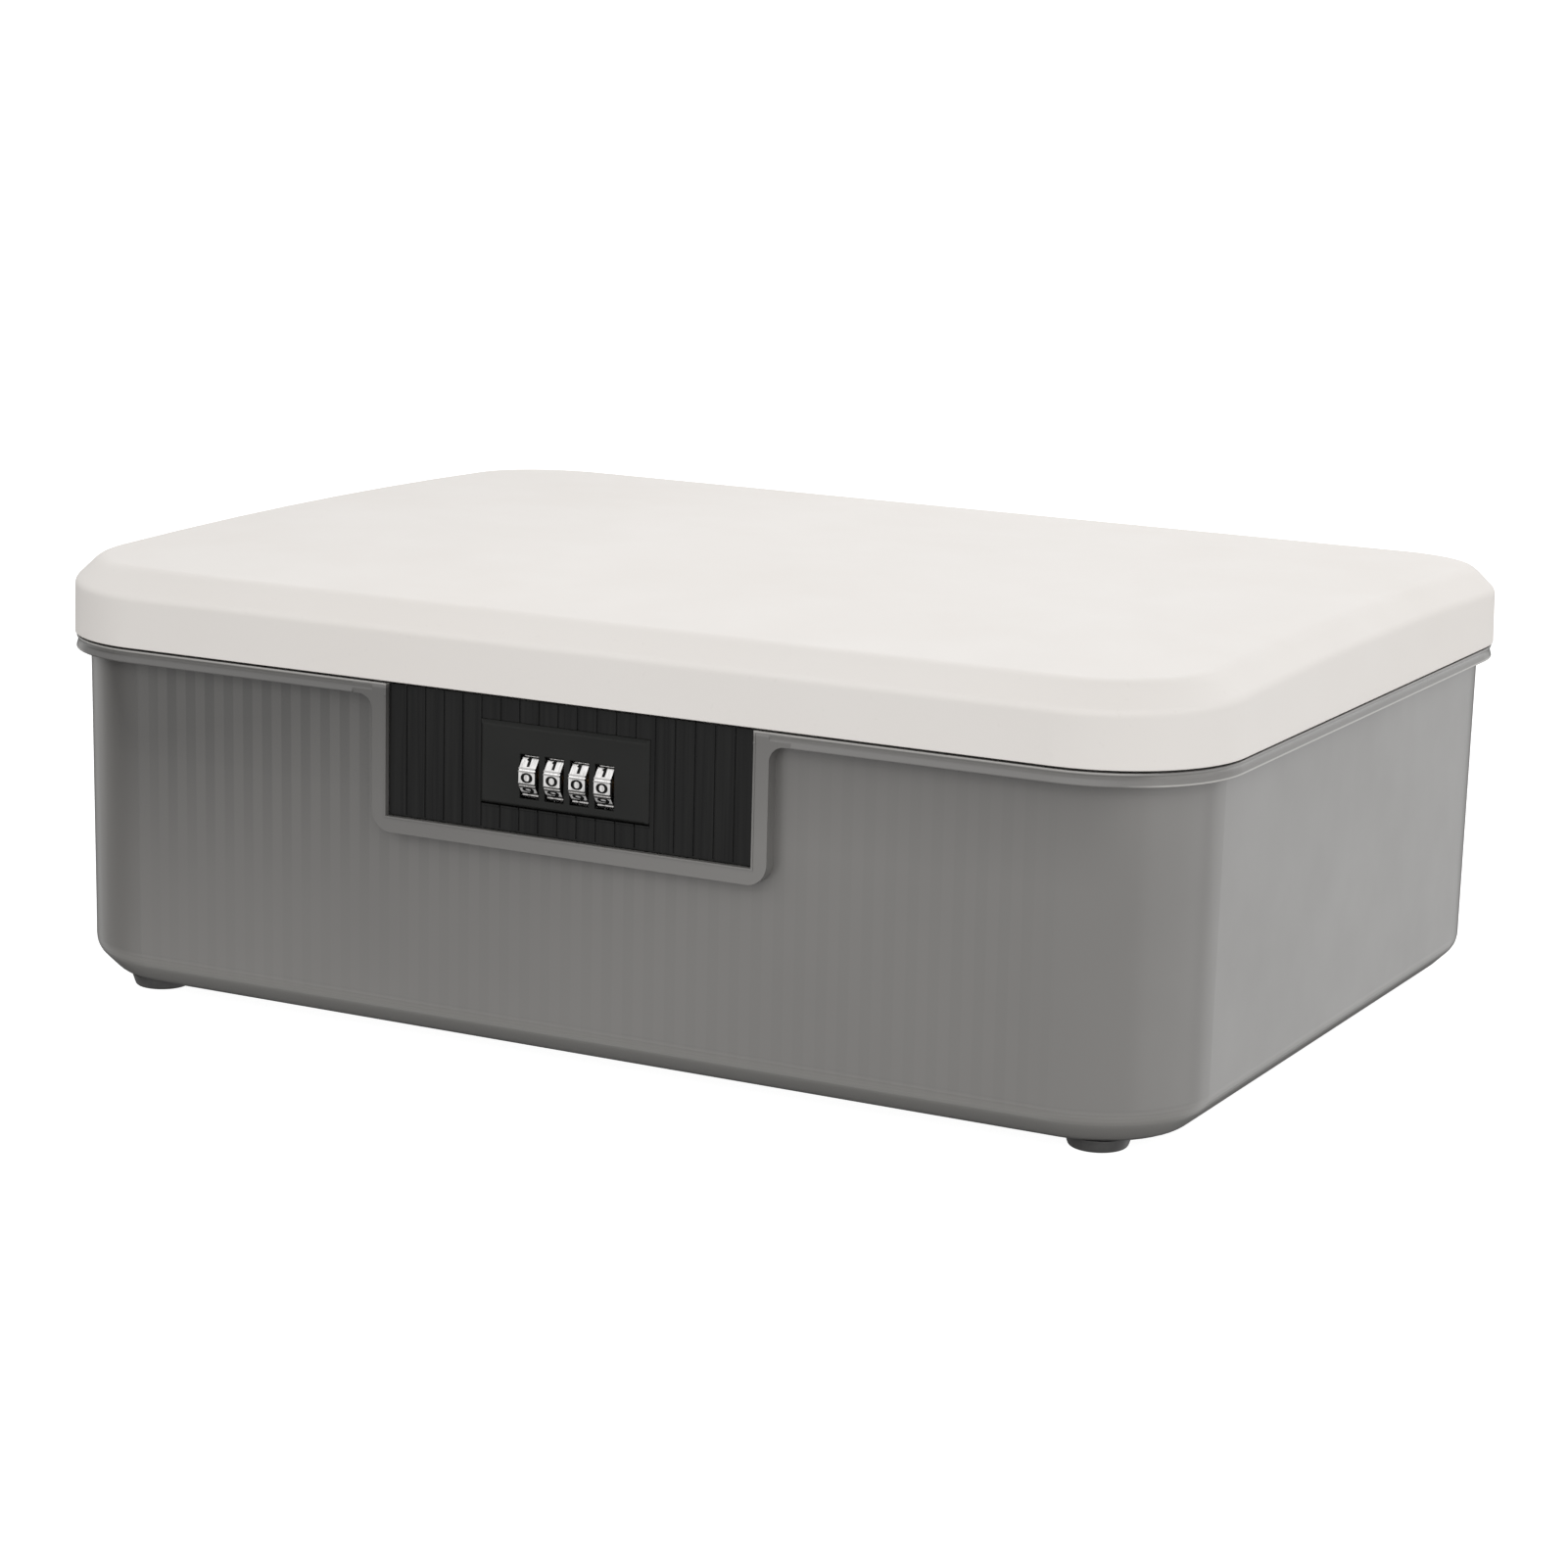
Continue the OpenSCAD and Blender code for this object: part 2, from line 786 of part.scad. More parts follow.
module keeper_screws() {
    color([0.7, 0.71, 0.72])
        at_keeper_bosses()
            translate([0, 0, keeper_z])
                rotate([-90, 0, 0])
                    screw_y(2.6, 1.4, 1.2, keeper_t + 3.4);
}

module panel_screws() {
    color([0.7, 0.71, 0.72])
        at_panel_posts()
            translate([0, wall_y + wall, 0])
                screw_y(3.2, 1.5, 1, wall - 0.2);
}

module case_screws() {
    color([0.7, 0.71, 0.72])
        at_case_lugs()
            translate([0, lug_y, 0])
                screw_y(1.9, 1.2, 0.8, 3.8);
}

module cover_screws() {
    color([0.7, 0.71, 0.72])
        at_cover_posts()
            translate([0, cover_y + cover_t, 0])
                screw_y(1.8, 1, 0.8, cover_t + 3);
}

module hinge_pin(s) {
    color([0.72, 0.73, 0.74])
        translate([s * hinge_x, hinge_y, hinge_z])
            rod_x(-1.5 * knuckle_l - knuckle_gap, 1.5 * knuckle_l + knuckle_gap, pin_r);
}

module foot(sx, sy) {
    color([0.16, 0.16, 0.16])
        translate([sx * (lid_w / 2 - foot_in_x), sy * (lid_d / 2 - foot_in_y), 0]) {
            rotate_extrude()
                polygon(soft([[0, 0, 0], [foot_r - 1, 0, 0.8], [foot_r, foot_h, 0], [0, foot_h, 0]]));
            cylinder(r = 3.3, h = floor_z + 0.5);
            translate([0, 0, floor_z + 0.05])
                cylinder(r1 = 4, r2 = 3, h = 1.2);
        }
}

// Draws a piece in its place in the shared frame
module placed() {
    translate([0, -mid_y, 0])
        children();
}

placed() body_shell();
placed() lid_shell();
placed() lock_panel();
placed() dial_plate();
placed() lock_case();
placed() case_cover();
placed() wheel_axle();
placed() dial_wheel(0);  // dial_wheel_1
placed() dial_wheel(1);  // dial_wheel_2
placed() dial_wheel(2);  // dial_wheel_3
placed() dial_wheel(3);  // dial_wheel_4
placed() code_sleeve(0);  // code_sleeve_1
placed() code_sleeve(1);  // code_sleeve_2
placed() code_sleeve(2);  // code_sleeve_3
placed() code_sleeve(3);  // code_sleeve_4
placed() latch_bar();
placed() latch_spring();
placed() click_spring();
placed() lid_keeper();
placed() keeper_screws();
placed() panel_screws();
placed() case_screws();
placed() cover_screws();
placed() hinge_pin(-1);  // hinge_pin_left
placed() hinge_pin(1);  // hinge_pin_right
placed() foot(-1, -1);  // foot_front_left
placed() foot(1, -1);  // foot_front_right
placed() foot(-1, 1);  // foot_rear_left
placed() foot(1, 1);  // foot_rear_right
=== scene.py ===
import json
import math
import bpy
import bmesh
from mathutils import Matrix, Vector


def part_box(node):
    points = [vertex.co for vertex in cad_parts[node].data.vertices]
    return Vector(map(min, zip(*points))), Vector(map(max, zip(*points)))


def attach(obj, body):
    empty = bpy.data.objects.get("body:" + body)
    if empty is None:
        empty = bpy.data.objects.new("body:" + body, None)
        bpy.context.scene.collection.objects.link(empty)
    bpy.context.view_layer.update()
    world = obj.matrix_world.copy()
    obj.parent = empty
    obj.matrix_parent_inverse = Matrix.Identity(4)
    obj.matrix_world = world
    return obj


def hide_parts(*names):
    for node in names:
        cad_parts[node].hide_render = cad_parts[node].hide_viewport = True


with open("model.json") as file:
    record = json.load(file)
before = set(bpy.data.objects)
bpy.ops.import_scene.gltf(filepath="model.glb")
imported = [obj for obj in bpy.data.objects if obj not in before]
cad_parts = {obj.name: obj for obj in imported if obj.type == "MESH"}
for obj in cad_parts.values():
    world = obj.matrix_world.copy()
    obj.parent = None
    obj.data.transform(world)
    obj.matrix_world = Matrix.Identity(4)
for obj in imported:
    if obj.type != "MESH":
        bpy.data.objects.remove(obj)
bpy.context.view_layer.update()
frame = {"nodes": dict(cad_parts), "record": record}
nodes = frame["nodes"]
mm = 0.001
weld = 0.0001 * mm   # points of a new mesh that are closer than this become one
print("frame loaded:", len(nodes), "CAD nodes")


# a socket takes a link from another node or a plain value
def feed(tree, socket, value):
    if isinstance(value, bpy.types.NodeSocket):
        tree.links.new(value, socket)
    else:
        socket.default_value = value


def addNode(tree, kind, **inputs):
    node = tree.nodes.new(kind)
    for key, value in inputs.items():
        feed(tree, node.inputs[key.replace("_", " ")], value)
    return node


# where a point is on the object; a pattern is packed closer along an axis with a larger stretch
def place(tree, stretch=(1, 1, 1)):
    coords = tree.nodes.new("ShaderNodeTexCoord")
    mapping = addNode(tree, "ShaderNodeMapping", Vector=coords.outputs["Object"], Scale=stretch)
    return mapping.outputs["Vector"]


def partsOf(tree, where):
    split = addNode(tree, "ShaderNodeSeparateXYZ", Vector=where)
    return split.outputs["X"], split.outputs["Y"], split.outputs["Z"]


def noise(tree, where, scale, detail, roughness=0.55):
    node = addNode(tree, "ShaderNodeTexNoise", Vector=where, Scale=scale, Detail=detail,
                   Roughness=roughness)
    return node.outputs["Fac"]


# low to high becomes newLow to newHigh, and beyond them it stays there
def fromTo(tree, value, low, high, newLow=0.0, newHigh=1.0):
    node = addNode(tree, "ShaderNodeMapRange", Value=value, From_Min=low, From_Max=high,
                   To_Min=newLow, To_Max=newHigh)
    return node.outputs["Result"]


# a noise of one pattern (scale, detail), put between limits by fromTo
def mottle(tree, where, pattern, limits):
    return fromTo(tree, noise(tree, where, *pattern), *limits)


def calculate(tree, operation, *values, clamp=False):
    node = tree.nodes.new("ShaderNodeMath")
    node.operation = operation
    node.use_clamp = clamp
    for socket, value in zip(node.inputs, values):
        feed(tree, socket, value)
    return node.outputs[0]


# one operation over all the values, one after another
def combine(tree, operation, first, *others):
    for other in others:
        first = calculate(tree, operation, first, other)
    return first


def blendColours(tree, amount, first, second):
    node = tree.nodes.new("ShaderNodeMix")
    node.data_type = "RGBA"
    feed(tree, node.inputs[0], amount)
    for index, colour in ((6, first), (7, second)):   # the sockets of this node that take colours
        feed(tree, node.inputs[index], (*colour, 1) if isinstance(colour, tuple) else colour)
    return node.outputs[2]


def startMaterial(name):
    mat = bpy.data.materials.new(name)
    mat.use_nodes = True
    return mat, mat.node_tree, mat.node_tree.nodes["Principled BSDF"]


# numbers that are the same all over a surface stand on the shader's own sockets
def setPlain(shader, values):
    for name, value in values.items():
        shader.inputs[name].default_value = value


def setShader(tree, shader, tone, rough, gloss):
    tree.links.new(tone, shader.inputs["Base Color"])
    tree.links.new(rough, shader.inputs["Roughness"])
    setPlain(shader, gloss)


def addRelief(tree, shader, height, strength, distance, edge=0.0, samples=4):
    bump = addNode(tree, "ShaderNodeBump", Height=height, Strength=strength, Distance=distance)
    if edge:
        rounded = addNode(tree, "ShaderNodeBevel", Radius=edge)   # softens the light along sharp edges
        rounded.samples = samples
        tree.links.new(rounded.outputs["Normal"], bump.inputs["Normal"])
    tree.links.new(bump.outputs["Normal"], shader.inputs["Normal"])


# in every look below, a range of two or four numbers is for fromTo, a scale with its detail is for
# noise, and a relief (strength, depth, rounding of edges) is for addRelief
ribs = {
    "colour": (0.01, 0.01, 0.01),
    "strength": 0.27,
    "pitch": 5.42 * mm,
    "start": 2.02 * mm,               # the middle of a gap between two ribs
    "border": (0.2, -0.2),            # of the wave that draws them
    "up": (34 * mm, 78 * mm),         # they grow stronger upwards and to the left
    "left": (60 * mm, -60 * mm),
    "elsewhere": 0.13,                # share that is left away from there
    "stretch": (120, 1, 9),
    "uneven": ((1, 2), (0.35, 0.65, 0.8, 1.0)),
    "ends": (112 * mm, 121 * mm),     # they fade out towards both ends of the wall
    "wallPlane": -111.1 * mm,
    "wallDepth": 0.8 * mm,
}


# faint upright ribs that show through the front wall
def frontRibs(tree, x, y, z, look=ribs):
    turns = 2 * math.pi / look["pitch"]
    wave = calculate(tree, "COSINE", calculate(tree, "MULTIPLY_ADD", x, turns, -look["start"] * turns))
    upperLeft = combine(tree, "MULTIPLY", fromTo(tree, z, *look["up"]), fromTo(tree, x, *look["left"]))
    return combine(
        tree, "MULTIPLY",
        fromTo(tree, wave, *look["border"]),
        fromTo(tree, upperLeft, 0, 1, look["elsewhere"], 1),
        mottle(tree, place(tree, look["stretch"]), *look["uneven"]),
        fromTo(tree, calculate(tree, "ABSOLUTE", x), *look["ends"], look["strength"], 0),
        calculate(tree, "COMPARE", y, look["wallPlane"], look["wallDepth"]),   # keeps them off the rim
    )


bodyLook = {
    "colour": (0.187, 0.181, 0.173),
    "lighter": (0.202, 0.196, 0.187),
    "clouds": ((14, 3), (0.3, 0.7)),
    # painted shade: a darker copy of the colour, blended in towards the wall's upper left and under the
    # rim
    "shadedShare": 0.55,                                # of the colour
    "shadeLeft": (60 * mm, -125 * mm),
    "shadeUp": (10 * mm, 62 * mm),
    "shadeFront": (-108 * mm, -111.5 * mm, 0, 0.95),    # on the front wall only
    "rimShadeUp": (60 * mm, 84 * mm, 0, 0.45),
    "rimShadeFront": (-106.8 * mm, -110.8 * mm),
    "lit": (0.42, 0.41, 0.39),                          # painted highlights on the edges of the rim, and on the bevel
    "towardsFront": (-106 * mm, -111.5 * mm),
    "lipUp": (85.65 * mm, 86.25 * mm),
    "lipFoot": (85.05 * mm, 85.45 * mm, 0, 0.2),
    "lipEnd": (86.39 * mm, 86.31 * mm),
    "sideLip": (85.6 * mm, 0.9 * mm),                   # middle and width of a band
    "sideLipShare": 0.4,
    "sideBead": (83.6 * mm, 0.5 * mm),
    "bevelUp": (4.3 * mm, 8.3 * mm, 0, 0.42),
    "bevelEnd": (12 * mm, 9.6 * mm),
    # painted shade: the wall darkens to near black towards its bottom edge
    "paintedUnderShade": (0.02, 0.02, 0.02),
    "paintedUnderShadeDown": (4.4 * mm, 3.3 * mm, 0, 0.8),
    "rough": ((45, 4), (0.3, 0.7, 0.29, 0.37)),
    "gloss": {"IOR": 1.49, "Coat Weight": 0.5, "Coat Roughness": 0.2},
    "grain": (2600, 2),
    "relief": (0.12, 0.02 * mm, 0.08 * mm),
}


# painted shade: the front wall is darkened towards its upper left and under the rim
def wallShade(tree, x, y, z, look=bodyLook):
    upperLeft = combine(tree, "MULTIPLY", fromTo(tree, x, *look["shadeLeft"]),
                        fromTo(tree, z, *look["shadeUp"]), fromTo(tree, y, *look["shadeFront"]))
    underRim = combine(tree, "MULTIPLY", fromTo(tree, z, *look["rimShadeUp"]),
                       fromTo(tree, y, *look["rimShadeFront"]))
    return calculate(tree, "ADD", upperLeft, underRim, clamp=True)


# 1 about the middle of a band, 0 from half its width above and below
def bandAt(tree, z, middle, width):
    away = calculate(tree, "ABSOLUTE", calculate(tree, "SUBTRACT", z, middle))
    return fromTo(tree, away, 0.2 * width, 0.5 * width, 1, 0)


# painted highlights on the lip in front, the lip and bead at the sides and the back, and the bevel
# under the wall
def litEdges(tree, y, z, look=bodyLook):
    towardsFront = fromTo(tree, y, *look["towardsFront"])
    lip = combine(tree, "MAXIMUM", fromTo(tree, z, *look["lipUp"]), fromTo(tree, z, *look["lipFoot"]))
    lip = combine(tree, "MULTIPLY", lip, fromTo(tree, z, *look["lipEnd"]), towardsFront)
    sides = calculate(tree, "MULTIPLY", bandAt(tree, z, *look["sideLip"]), look["sideLipShare"])
    sides = calculate(tree, "MAXIMUM", sides, bandAt(tree, z, *look["sideBead"]))
    sides = calculate(tree, "MULTIPLY", sides, fromTo(tree, towardsFront, 0, 1, 1, 0))
    bevel = combine(tree, "MULTIPLY", fromTo(tree, z, *look["bevelUp"]),
                    fromTo(tree, z, *look["bevelEnd"]))
    return combine(tree, "MAXIMUM", lip, sides, bevel)


def makeBodyPlastic(look=bodyLook):
    mat, tree, shader = startMaterial("bodyPlastic")
    where = place(tree)
    x, y, z = partsOf(tree, where)
    # painted shade: the wall is blended towards its darker copy at the upper left and under the rim
    shaded = tuple(look["shadedShare"] * c for c in look["colour"])
    tone = blendColours(tree, mottle(tree, where, *look["clouds"]), look["colour"], look["lighter"])
    tone = blendColours(tree, wallShade(tree, x, y, z), tone, shaded)
    tone = blendColours(tree, frontRibs(tree, x, y, z), tone, ribs["colour"])
    # painted highlights along the rim's edges and on the bevel
    tone = blendColours(tree, litEdges(tree, y, z), tone, look["lit"])
    # painted shade along the bottom edge
    tone = blendColours(tree, fromTo(tree, z, *look["paintedUnderShadeDown"]), tone, look["paintedUnderShade"])
    setShader(tree, shader, tone, mottle(tree, where, *look["rough"]), look["gloss"])
    addRelief(tree, shader, noise(tree, where, *look["grain"]), *look["relief"])
    return mat


lidLook = {
    "colour": (0.795, 0.757, 0.719),
    "lighter": (0.815, 0.783, 0.750),
    "clouds": ((9, 3), (0.3, 0.7)),
    # painted shade: the lid is darker towards its left
    "paintedShade": (0.37, 0.35, 0.33),
    "paintedShadeLeft": (-30 * mm, -150 * mm, 0, 0.13),
    "fleck": (0.66, 0.63, 0.59),
    "flecks": ((700, 1), (0.70, 0.78, 0, 0.12)),
    "rough": ((60, 4), (0.3, 0.7, 0.46, 0.56)),
    "gloss": {"IOR": 1.5},
    "grain": (1900, 3, 0.7),                       # that of a spark-eroded mould
    "relief": (0.22, 0.05 * mm, 0.3 * mm),
}


def makeLidPlastic(look=lidLook):
    mat, tree, shader = startMaterial("lidPlastic")
    where = place(tree)
    x, _, _ = partsOf(tree, where)
    tone = blendColours(tree, mottle(tree, where, *look["clouds"]), look["colour"], look["lighter"])
    # painted shade towards the lid's left
    tone = blendColours(tree, fromTo(tree, x, *look["paintedShadeLeft"]), tone, look["paintedShade"])
    tone = blendColours(tree, mottle(tree, where, *look["flecks"]), tone, look["fleck"])
    setShader(tree, shader, tone, mottle(tree, where, *look["rough"]), look["gloss"])
    addRelief(tree, shader, noise(tree, where, *look["grain"]), *look["relief"])
    return mat


panelLook = {
    "colour": (0.006, 0.006, 0.006),
    "lighter": (0.014, 0.014, 0.0135),
    "stretch": (900, 900, 22),                     # fine upright drawing lines
    "lines": (1, 3, 0.6),
    "lineLimits": (0.35, 0.68),
    "rough": (0.3, 0.7, 0.24, 0.42),
    "gloss": {"IOR": 1.5, "Specular IOR Level": 0.2},
    "grain": (900, 2),
    "grainShare": 0.3,
    "relief": (0.25, 0.03 * mm, 0.15 * mm),
}


def makePanelPlastic(look=panelLook):
    mat, tree, shader = startMaterial("panelPlastic")
    lines = noise(tree, place(tree, look["stretch"]), *look["lines"])
    tone = blendColours(tree, fromTo(tree, lines, *look["lineLimits"]), look["colour"], look["lighter"])
    setShader(tree, shader, tone, fromTo(tree, lines, *look["rough"]), look["gloss"])
    grain = noise(tree, place(tree), *look["grain"])
    height = calculate(tree, "MULTIPLY_ADD", grain, look["grainShare"], lines)
    addRelief(tree, shader, height, *look["relief"])
    return mat


plateLook = {
    "colour": (0.014, 0.0143, 0.0135),
    "lighter": (0.018, 0.0183, 0.0173),
    "clouds": ((60, 4), (0.32, 0.68)),
    "rough": ((240, 3), (0.3, 0.7, 0.37, 0.49)),
    "gloss": {"IOR": 1.5, "Specular IOR Level": 0.2},
    "grain": (1700, 3, 0.65),
    "relief": (0.3, 0.03 * mm, 0.5 * mm),
}

caseLook = {
    **plateLook,
    "colour": (0.022, 0.022, 0.022),
    "lighter": (0.034, 0.034, 0.034),
    "rough": ((240, 3), (0.3, 0.7, 0.50, 0.62)),
    "grain": (900, 3, 0.65),
}

rubberLook = {
    "colour": (0.055, 0.054, 0.053),
    "lighter": (0.11, 0.108, 0.104),               # dust
    "clouds": ((160, 5), (0.45, 0.75, 0, 0.7)),
    "rough": ((500, 3), (0.3, 0.7, 0.3, 0.45)),
    "gloss": {"Specular IOR Level": 0.8},
    "grain": (1500, 3),
    "relief": (0.4, 0.06 * mm, 0.3 * mm),
}

inkLook = {
    "colour": (0.002, 0.002, 0.002),
    "lighter": (0.008, 0.008, 0.007),
    "clouds": ((900, 3), (0.4, 0.7)),
    "rough": ((1800, 2), (0.3, 0.7, 0.5, 0.7)),
    "gloss": {"Specular IOR Level": 0.15},
    "grain": (2400, 2),
    "relief": (0.3, 0.01 * mm),
}


# black plastics, rubber and ink differ only in their numbers
def makeDark(name, look):
    mat, tree, shader = startMaterial(name)
    where = place(tree)
    tone = blendColours(tree, mottle(tree, where, *look["clouds"]), look["colour"], look["lighter"])
    setShader(tree, shader, tone, mottle(tree, where, *look["rough"]), look["gloss"])
    addRelief(tree, shader, noise(tree, where, *look["grain"]), *look["relief"])
    return mat


brassLook = {
    "colour": (0.36, 0.26, 0.14),
    "stain": (0.22, 0.15, 0.08),
    "stains": ((70, 5), (0.35, 0.7)),
    "stretch": (4000, 300, 300),                   # of its fine lines
    "lines": (1, 3, 0.6),
    "rough": (0.3, 0.7, 0.28, 0.52),
    "gloss": {"Metallic": 1},
    "relief": (0.15, 0.02 * mm, 0.12 * mm),
}

platedLook = {
    **brassLook,
    "colour": (0.60, 0.62, 0.64),
    "stain": (0.48, 0.49, 0.49),
    "stains": ((220, 5), (0.35, 0.7)),
    "stretch": (500, 500, 3000),
    "rough": (0.3, 0.7, 0.252, 0.468),
}

brightLook = {
    **brassLook,
    "colour": (0.66, 0.67, 0.68),
    "stain": (0.54, 0.54, 0.53),
    "stains": ((150, 5), (0.35, 0.7)),
    "stretch": (2500, 600, 600),
    "rough": (0.3, 0.7, 0.196, 0.364),
}


def makeMetal(name, look):
    mat, tree, shader = startMaterial(name)
    tone = blendColours(tree, mottle(tree, place(tree), *look["stains"]), look["colour"], look["stain"])
    lines = noise(tree, place(tree, look["stretch"]), *look["lines"])
    setShader(tree, shader, tone, fromTo(tree, lines, *look["rough"]), look["gloss"])
    addRelief(tree, shader, lines, *look["relief"])
    return mat


chromeLook = {
    "colour": (0.90, 0.89, 0.88),
    "streak": (0.58, 0.57, 0.56),
    "ridge": (0.34, 0.335, 0.33),                  # the ridges are duller than the pads
    "stretch": (2600, 330, 330),                   # streaks run round the wheel
    "streaks": (1, 4, 0.6),
    "streakLimits": (0.42, 0.66),
    "rough": (0.3, 0.7, 0.12, 0.24),
    "axle": (-110.4 * mm, 69.05 * mm),             # its y and z
    "ridgeRadius": (5.57 * mm, 5.66 * mm),         # from the edge of a pad to the ridge
    "gloss": {"Metallic": 1},
    "relief": (0.2, 0.02 * mm, 0.05 * mm),
}


def makeWheelChrome(look=chromeLook):
    mat, tree, shader = startMaterial("wheelChrome")
    _, y, z = partsOf(tree, place(tree))
    streaks = noise(tree, place(tree, look["stretch"]), *look["streaks"])
    streaked = fromTo(tree, streaks, *look["streakLimits"])
    tone = blendColours(tree, streaked, look["colour"], look["streak"])
    offset = addNode(tree, "ShaderNodeCombineXYZ",
                     Y=calculate(tree, "SUBTRACT", y, look["axle"][0]),
                     Z=calculate(tree, "SUBTRACT", z, look["axle"][1]))
    fromAxle = tree.nodes.new("ShaderNodeVectorMath")
    fromAxle.operation = "LENGTH"
    tree.links.new(offset.outputs["Vector"], fromAxle.inputs[0])
    onRidge = fromTo(tree, fromAxle.outputs["Value"], *look["ridgeRadius"])
    tone = blendColours(tree, onRidge, tone, look["ridge"])
    setShader(tree, shader, tone, fromTo(tree, streaks, *look["rough"]), look["gloss"])
    addRelief(tree, shader, streaks, *look["relief"])
    return mat


materials = {
    "body_plastic": makeBodyPlastic(),
    "lid_plastic": makeLidPlastic(),
    "panel_plastic": makePanelPlastic(),
    "plate_plastic": makeDark("platePlastic", plateLook),
    "case_plastic": makeDark("casePlastic", caseLook),
    "wheel_chrome": makeWheelChrome(),
    "sleeve_brass": makeMetal("sleeveBrass", brassLook),
    "plated_steel": makeMetal("platedSteel", platedLook),
    "bright_steel": makeMetal("brightSteel", brightLook),
    "foot_rubber": makeDark("footRubber", rubberLook),
}
ink = makeDark("numeralInk", inkLook)
print("materials made:", len(materials) + 1)

slotOf = {part["node"]: part["material_slot"] for part in frame["record"]["subparts"]}
for name, obj in nodes.items():
    obj.data.materials.clear()
    obj.data.materials.append(materials[slotOf[name]])
print("CAD nodes dressed")


def meshFrom(bm, name):
    mesh = bpy.data.meshes.new(name)
    bm.to_mesh(mesh)
    bm.free()
    return mesh


def addObject(name, data):
    obj = bpy.data.objects.new(name, data)
    bpy.context.scene.collection.objects.link(obj)
    return obj


# what an object's text or modifiers come to, as a mesh
def evaluatedMesh(obj):
    depsgraph = bpy.context.evaluated_depsgraph_get()
    return bpy.data.meshes.new_from_object(obj.evaluated_get(depsgraph))


def cornersOf(verts):
    low = Vector([min(v.co[k] for v in verts) for k in range(3)])
    high = Vector([max(v.co[k] for v in verts) for k in range(3)])
    return low, high


numerals = {
    "wheels": 4,
    "digits": 10,
    "padRadius": 5.43 * mm,        # from the axle to the flat pad of a wheel
    "height": 2.3 * mm,
    "width": 3.05 * mm,
    "thickness": 0.03 * mm,
    "bold": 0.014,                 # bold and depth are in the size of the font
    "depth": 0.01,
    "curveSteps": 6,
    "oneStem": 0.72 * mm,
    "oneRise": 0.28 * mm,
    "flagLength": 1.0 * mm,
    "flagWidth": 0.5 * mm,
    "flagTurn": -50,               # degrees
    "flagPlace": (-0.42, 0.46),    # shares of the stem and of the height
}


# the font's 1 is a bare bar, so this one has the usual flag at its upper left
def drawOne(look=numerals):
    stem, height = look["oneStem"], look["height"]
    flagPlace = (look["flagPlace"][0] * stem, look["flagPlace"][1] * height, 0)
    bars = (
        (stem, height, 0, (0, look["oneRise"], 0)),
        (look["flagWidth"], look["flagLength"], math.radians(look["flagTurn"]), flagPlace),
    )
    bm = bmesh.new()
    for width, length, turn, where in bars:
        bar = bmesh.ops.create_cube(bm, size=1)["verts"]
        bmesh.ops.scale(bm, vec=(width, length, look["thickness"]), verts=bar)
        bmesh.ops.rotate(bm, matrix=Matrix.Rotation(turn, 3, "Z"), verts=bar)
        bmesh.ops.translate(bm, vec=where, verts=bar)
    return meshFrom(bm, "numeral1")


def drawNumeral(digit, look=numerals):
    curve = bpy.data.curves.new(f"numeral{digit}", "FONT")
    curve.body = str(digit)
    curve.offset = look["bold"]
    curve.extrude = look["depth"]
    curve.resolution_u = look["curveSteps"]
    text = addObject(curve.name, curve)
    mesh = evaluatedMesh(text)
    bpy.data.objects.remove(text)
    low, high = cornersOf(mesh.vertices)
    size = high - low
    fit = (look["width"] / size.x, look["height"] / size.y, look["thickness"] / size.z, 1)
    mesh.transform(Matrix.Translation(-(low + high) / 2))
    mesh.transform(Matrix.Diagonal(fit))
    return mesh


def makeNumerals(look=numerals):
    faces = [drawOne() if digit == 1 else drawNumeral(digit) for digit in range(look["digits"])]
    # stand a numeral up on the front of its wheel, then turn it to its own pad
    stand = Matrix.Translation((0, -look["padRadius"], 0)) @ Matrix.Rotation(math.pi / 2, 4, "X")
    for number in range(1, look["wheels"] + 1):
        low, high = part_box(f"dial_wheel_{number}")
        middle = (low + high) / 2
        bm = bmesh.new()
        for digit, mesh in enumerate(faces):
            piece = mesh.copy()
            turn = Matrix.Rotation(-2 * math.pi * digit / look["digits"], 4, "X")
            piece.transform(Matrix.Translation(middle) @ turn @ stand)
            bm.from_mesh(piece)
            bpy.data.meshes.remove(piece)
        bmesh.ops.remove_doubles(bm, verts=bm.verts, dist=weld)
        obj = addObject(f"numerals_{number}", meshFrom(bm, f"numerals_{number}"))
        obj.data.materials.append(ink)
        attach(obj, f"wheel_{number}")


makeNumerals()
print("numerals placed")


# head and shank are shares of the CAD screw's length and radius
screws = {
    "keeper_screws": {"body": "lid", "head": 0.219, "shank": 0.4615, "hangs": True},
    "panel_screws": {"body": "box", "head": 0.405, "shank": 0.3125, "hangs": False},
    "case_screws": {"body": "box", "head": 0.24, "shank": 0.421, "hangs": False},
    "cover_screws": {"body": "box", "head": 0.2, "shank": 0.444, "hangs": False},
}

# outlines are shares of radius and height, or of radius and length
screwShape = {
    "headOutline": ((0, 1), (0.45, 0.98), (0.72, 0.88), (0.9, 0.68), (1, 0.4), (1, 0.12), (0.95, 0)),
    "shankOutline": ((1, 0), (1, -0.85), (0.5, -1), (0, -1)),
    "steps": 40,
    "crossLength": 1.3,            # shares of the head's radius
    "crossWidth": 0.3,
    "crossDepth": 0.55,            # share of the head's height
    "crossTaper": (0.6, 0.7, 1),
    "firstTurn": 0.4,              # no two recesses stand alike
    "nextTurn": 0.9,
    "nodeWeld": 0.001 * mm,        # a CAD node comes as loose triangles
}


